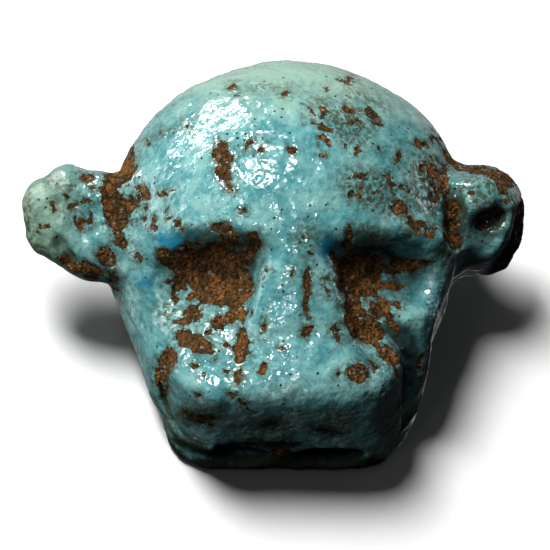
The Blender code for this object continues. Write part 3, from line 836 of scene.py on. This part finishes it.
class Faience(Nodes):
    """Turquoise glaze with pinholes and brown edges round its worn places, over a granular brown core with
    specks of quartz. Some of its stains, grime, hollows and scuffs are painted shade and sheen.
    """

    def __init__(self):
        """The values that the methods below share."""
        super().__init__("worn_turquoise_faience")
        ragged = self.math("MULTIPLY_ADD", self.noise(0.22, 5.0, 0.8), 0.8, -0.4)
        self.edge = self.math("ADD", self.value("worn"), ragged)
        self.bare = self.ramp(self.edge, 0.02, -0.02)
        self.mottle = self.noise(0.3, 4.0, 0.7)
        self.height = self.dot(self.place, FACE_UP)
        self.dull = self.value("dull")
        # Grime, with painted shade on the jaw and a painted shadow below the right brow.
        self.grimy_and_shaded = self.ramp(self.math("MULTIPLY_ADD", self.mottle, 0.6, self.value("grimy_and_shaded")), 0.7, 0.1)
        self.pinholes = self.spots(0.45, 0.17, 0.11, 0.6)
        self.grit = self.noise(0.16, 4.0, 0.75, offset=5.0)
        self.grain, self.grain_kind = self.cells(0.17)
        self.quartz = self.ramp(self.grain_kind, 0.88, 0.94)

    def clean_glaze(self):
        """Mottled glaze: darker where the glaze lies thicker and where shade is painted in hollows, under the
        brows and along the right cheek's edge, green up the crown and dull on one ear.
        """
        clouds = self.noise(1.6, 4.0, 0.6)
        glaze = self.mix(self.ramp(clouds, 0.42, 0.62), GLAZE, PALE_GLAZE)
        glaze = self.mix(self.ramp(clouds, 0.48, 0.36, 0.0, 0.5), glaze, TEAL_GLAZE)
        glaze = self.mix(self.ramp(self.mottle, 0.48, 0.62, 0.0, 0.6), glaze, PALE_GLAZE)
        glaze = self.mix(self.ramp(self.mottle, 0.48, 0.33, 0.0, 0.7), glaze, TEAL_GLAZE)
        # Glaze lying thicker, and painted shade, in the marked places and then in the hollows.
        thick_glaze_and_shade = self.math("MULTIPLY_ADD", self.mottle, 0.8, self.value("deep"))
        thick_glaze_and_shade = self.ramp(thick_glaze_and_shade, 1.0, 0.3, 0.0, 0.9)
        pooled_and_shaded = self.ramp(self.value("pool_and_shade"), 0.08, 0.55)
        glaze = self.mix(self.math("MAXIMUM", pooled_and_shaded, thick_glaze_and_shade), glaze, DEEP_GLAZE_AND_SHADE)
        crown = self.math("MULTIPLY_ADD", clouds, 4.0 * MM, self.height)
        glaze = self.mix(self.ramp(crown, 10.3 * MM, 13.2 * MM, 0.0, 0.75), glaze, GREEN_GLAZE)
        return self.mix(self.dull, glaze, DULL_GLAZE)

    def marked_glaze(self):
        """Glaze with its stains, scuffs, grime, deep blue places, specks and pinholes. The stains and grime
        also paint shade, the scuffs also paint sheen, and narrow creases are darkened brown.
        """
        # Stains, with painted shade on the right brow and temple.
        stained_and_shaded = self.value("stained_and_shaded")
        stain_and_shade = self.ramp(stained_and_shaded, 0.6, -0.4, 0.0, 0.95)
        stain_and_shade = self.math("MAXIMUM", self.ramp(self.edge, 0.4, 0.0, 0.0, 0.9), stain_and_shade)
        patchy = self.ramp(self.noise(0.25, 5.0, 0.8, offset=3.0), 0.42, 0.56)
        glaze = self.mix(self.math("MULTIPLY", stain_and_shade, patchy), self.clean_glaze(), STAIN_AND_SHADE)
        glaze = self.mix(self.ramp(self.value("crevice"), 0.3, 0.7, 0.0, 0.85), glaze, STAIN_AND_SHADE)
        # Scratchy scuffs, which also paint sheen along the right cheek's ridge.
        scratches = self.noise(0.3, 4.0, 0.75, distortion=1.5, offset=13.0)
        scratches = self.ramp(scratches, 0.48, 0.66, 0.0, 0.8)
        scuffed_and_sheen = self.ramp(self.value("scuffed_and_sheen"), 0.35, -0.15)
        glaze = self.mix(self.math("MULTIPLY", scuffed_and_sheen, scratches), glaze, SCUFF_AND_SHEEN)
        glaze = self.mix(self.grimy_and_shaded, glaze, GRIME_AND_SHADE)
        blue = self.math("ADD", self.mottle, self.value("blue"))
        glaze = self.mix(self.ramp(blue, 1.0, 0.3, 0.0, 0.9), glaze, BLUE_GLAZE)
        rarity = self.ramp(stained_and_shaded, 0.6, -0.3, 0.84, 0.5)
        glaze = self.mix(self.spots(0.22, 0.3, 0.15, rarity, 0.7), glaze, STAIN_AND_SHADE)
        return self.mix(self.pinholes, glaze, PINHOLE)

    def core(self):
        """Rusty, gritty core, darker beside the glaze and where the grime mask lies, which also paints shade
        on it.
        """
        core = self.mix(self.ramp(self.noise(0.8, 5.0, 0.7, offset=7.0), 0.42, 0.62), CORE, RUST_CORE)
        core = self.mix(self.ramp(self.grain_kind, 0.88, 1.0, 0.0, 0.5), core, QUARTZ)
        core = self.mix(self.ramp(self.grain, 0.35, 0.8, 0.0, 0.5), core, DARK_CORE)
        core = self.mix(self.ramp(self.grit, 0.53, 0.4), core, DARK_CORE)
        core = self.mix(self.ramp(self.edge, -0.2, -0.02, 0.0, 0.7), core, DARK_CORE)
        return self.mix(self.ramp(self.grimy_and_shaded, 0.0, 1.0, 0.0, 0.7), core, DARK_CORE)

    def roughness(self):
        """Glossy glaze, duller in patches, in grime and painted shade and on one ear, and a rough core with
        shiny quartz.
        """
        glaze = self.ramp(self.noise(0.5, 4.0, 0.6, offset=9.0), 0.42, 0.56, 0.3, 0.05)
        for duller in (self.dull, self.grimy_and_shaded):
            glaze = self.math("MAXIMUM", glaze, self.math("MULTIPLY", duller, 0.7))
        return self.between(self.bare, glaze, self.math("MULTIPLY_ADD", self.quartz, -0.5, 0.75))

    def shine(self):
        """How strongly it reflects: the core hardly does, and neither do grime and painted shade."""
        shiny = self.math("MAXIMUM", self.ramp(self.edge, -0.02, 0.02), self.quartz)
        shiny = self.math("MULTIPLY", shiny, self.ramp(self.grimy_and_shaded, 0.0, 1.0, 1.0, 0.1))
        return self.ramp(shiny, 0.0, 1.0, 0.03, 0.5)

    def relief(self):
        """Glaze with the skin of an orange, fainter up the crown, then pits and the core's grains."""
        calm = self.ramp(self.height, 9.3 * MM, 11.5 * MM, 1.0, 0.3)
        peel = self.bump(self.noise(0.65, 2.5, 0.45, offset=11.0), 0.17, strength=calm)
        pits = self.math("MAXIMUM", self.pinholes, self.ramp(self.edge, 0.03, -0.05))
        pitted = self.bump(self.math("SUBTRACT", 1.0, pits), 0.05, peel)
        grains = self.math("SUBTRACT", self.grit, self.math("MULTIPLY", self.grain, 0.5))
        return self.bump(self.math("MULTIPLY", grains, self.bare), 0.28, pitted)


def faience():
    """The bead's material."""
    made = Faience()
    made.put(made.shader.inputs["Base Color"], made.mix(made.bare, made.marked_glaze(), made.core()))
    made.put(made.shader.inputs["Roughness"], made.roughness())
    made.put(made.shader.inputs["Specular IOR Level"], made.shine())
    made.put(made.shader.inputs["Normal"], made.relief())
    return made.material


def pale_board():
    """Matt pale board with a faint grain."""
    made = Nodes("pale_board")
    made.put(made.shader.inputs["Base Color"], made.mix(made.noise(1.5, 3.0), BOARD, PALE_BOARD))
    made.put(made.shader.inputs["Roughness"], 0.9)
    return made.material


FLOOR_REACH = 0.6  # metres from the middle to each edge


def make_floor():
    """Square floor under the bead, which neither lights it nor shows in its glaze."""
    mesh = bpy.data.meshes.new("floor")
    corners = ((-1, -1), (1, -1), (1, 1), (-1, 1))
    mesh.from_pydata([(x * FLOOR_REACH, y * FLOOR_REACH, BASE * MM) for x, y in corners], [], [(0, 1, 2, 3)])
    mesh.materials.append(pale_board())
    floor = bpy.data.objects.new("floor", mesh)
    bpy.context.scene.collection.objects.link(floor)
    floor.visible_diffuse = False
    floor.visible_glossy = False


LAMP_DISTANCE = 0.3  # metres, as the lamps' sizes are

# The key light is an oval, which isn't reflected in the glaze.
KEY_DIRECTION = (-0.26, 0.37, 0.89)
KEY_WIDTH = 0.1
KEY_LENGTH = 0.17
KEY_WATTS = 1.7

# Lamps that fill in the bead's shading: (name, direction, watts).
FILLS = (("face", (-0.7, -0.09, 0.71), 0.95), ("crown", (0.1, 0.85, 0.5), 0.13))
FILL_SIZE = 0.15

# Lamps that shine in the glaze: (name, direction, size, watts).
SHINES = (
    ("back", (-0.43, 0.81, 0.4), 0.06, 0.8),
    ("back left", (-0.65, 0.69, 0.33), 0.04, 0.28),
    ("far left", (-0.82, 0.46, 0.33), 0.04, 0.06),
    ("overhead", (-0.25, 0.34, 0.91), 0.07, 0.75),
    ("left", (-0.62, 0.15, 0.72), 0.04, 0.04),
    ("front", (-0.27, -0.36, 0.89), 0.035, 0.22),
    ("low left", (-0.92, 0.3, 0.15), 0.15, 0.2),
    ("low right", (0.88, 0.35, 0.1), 0.1, 0.1),
)

# The room is dim, and brightest in one direction, behind the bead and below it. ROOM_GLOW is a smooth step
# of its strength, by how nearly a direction agrees with that one.
ROOM_BRIGHT_SIDE = (0.0, 0.9, -0.44)
ROOM_GLOW = {"From Min": 0.6, "From Max": 0.9, "To Min": 0.03, "To Max": 0.42}
ROOM_COLOUR = colour(1.0, 1.0, 1.0)


def add_lamp(name, direction, size, energy):
    """Soft light that shines on the bead from a direction."""
    lamp = bpy.data.lights.new(name, "AREA")
    lamp.shape = "DISK"
    lamp.size = size
    lamp.energy = energy
    made = bpy.data.objects.new(name, lamp)
    towards = Vector(direction).normalized()
    made.location = towards * LAMP_DISTANCE
    made.rotation_euler = towards.to_track_quat("Z", "Y").to_euler()
    made.visible_camera = False
    bpy.context.scene.collection.objects.link(made)
    return made


def add_lamps(bead):
    """A soft key light, two that fill in the bead's shading and several that only shine in its glaze."""
    key = add_lamp("key", KEY_DIRECTION, KEY_WIDTH, KEY_WATTS)
    key.data.shape = "ELLIPSE"
    key.data.size_y = KEY_LENGTH
    key.visible_glossy = False
    lit = bpy.data.collections.new("lit_by_fill_lamps")
    lit.objects.link(bead)
    for name, direction, energy in FILLS:
        fill = add_lamp(name, direction, FILL_SIZE, energy)
        fill.visible_glossy = False
        fill.light_linking.receiver_collection = lit
    for name, direction, size, energy in SHINES:
        shine = add_lamp(name, direction, size, energy)
        shine.visible_diffuse = False


def make_room():
    """Dim world around the bead."""
    world = bpy.data.worlds.new("room")
    world.use_nodes = True
    nodes = world.node_tree.nodes
    links = world.node_tree.links
    backdrop = nodes["Background"]
    backdrop.inputs["Color"].default_value = ROOM_COLOUR
    agreement = nodes.new("ShaderNodeVectorMath")
    agreement.operation = "DOT_PRODUCT"
    agreement.inputs[1].default_value = ROOM_BRIGHT_SIDE
    glow = nodes.new("ShaderNodeMapRange")
    glow.interpolation_type = "SMOOTHSTEP"
    for name, value in ROOM_GLOW.items():
        glow.inputs[name].default_value = value
    links.new(nodes.new("ShaderNodeTexCoord").outputs["Generated"], agreement.inputs[0])
    links.new(agreement.outputs["Value"], glow.inputs["Value"])
    links.new(glow.outputs["Result"], backdrop.inputs["Strength"])
    bpy.context.scene.world = world
    bpy.context.scene.view_settings.view_transform = "Standard"


CAMERA_DISTANCE = 0.5  # metres
FRAME_WIDTH = 27.5  # millimetres across the picture at the bead
AIM_BELOW_MIDDLE = 1.845  # millimetres down the picture


def add_camera():
    """Looks down on the lying bead, from in front of its muzzle."""
    camera = bpy.data.cameras.new("camera")
    camera.lens = camera.sensor_width * CAMERA_DISTANCE / (FRAME_WIDTH * MM)
    camera.clip_start = CAMERA_DISTANCE / 10
    camera.clip_end = CAMERA_DISTANCE * 10
    made = bpy.data.objects.new("camera", camera)
    middle = (CAD_BOX[0] + CAD_BOX[1]) / 2
    aim = middle - Vector(FACE_UP) * AIM_BELOW_MIDDLE * MM
    made.location = aim + Vector(FACE_OUT) * CAMERA_DISTANCE
    made.rotation_euler = Vector(FACE_OUT).to_track_quat("Z", "Y").to_euler()
    bpy.context.scene.collection.objects.link(made)
    bpy.context.scene.camera = made


bead = make_bead()
bead.data.materials.append(faience())
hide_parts("lioness_head")
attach(bead, "root")
make_floor()
add_lamps(bead)
make_room()
add_camera()
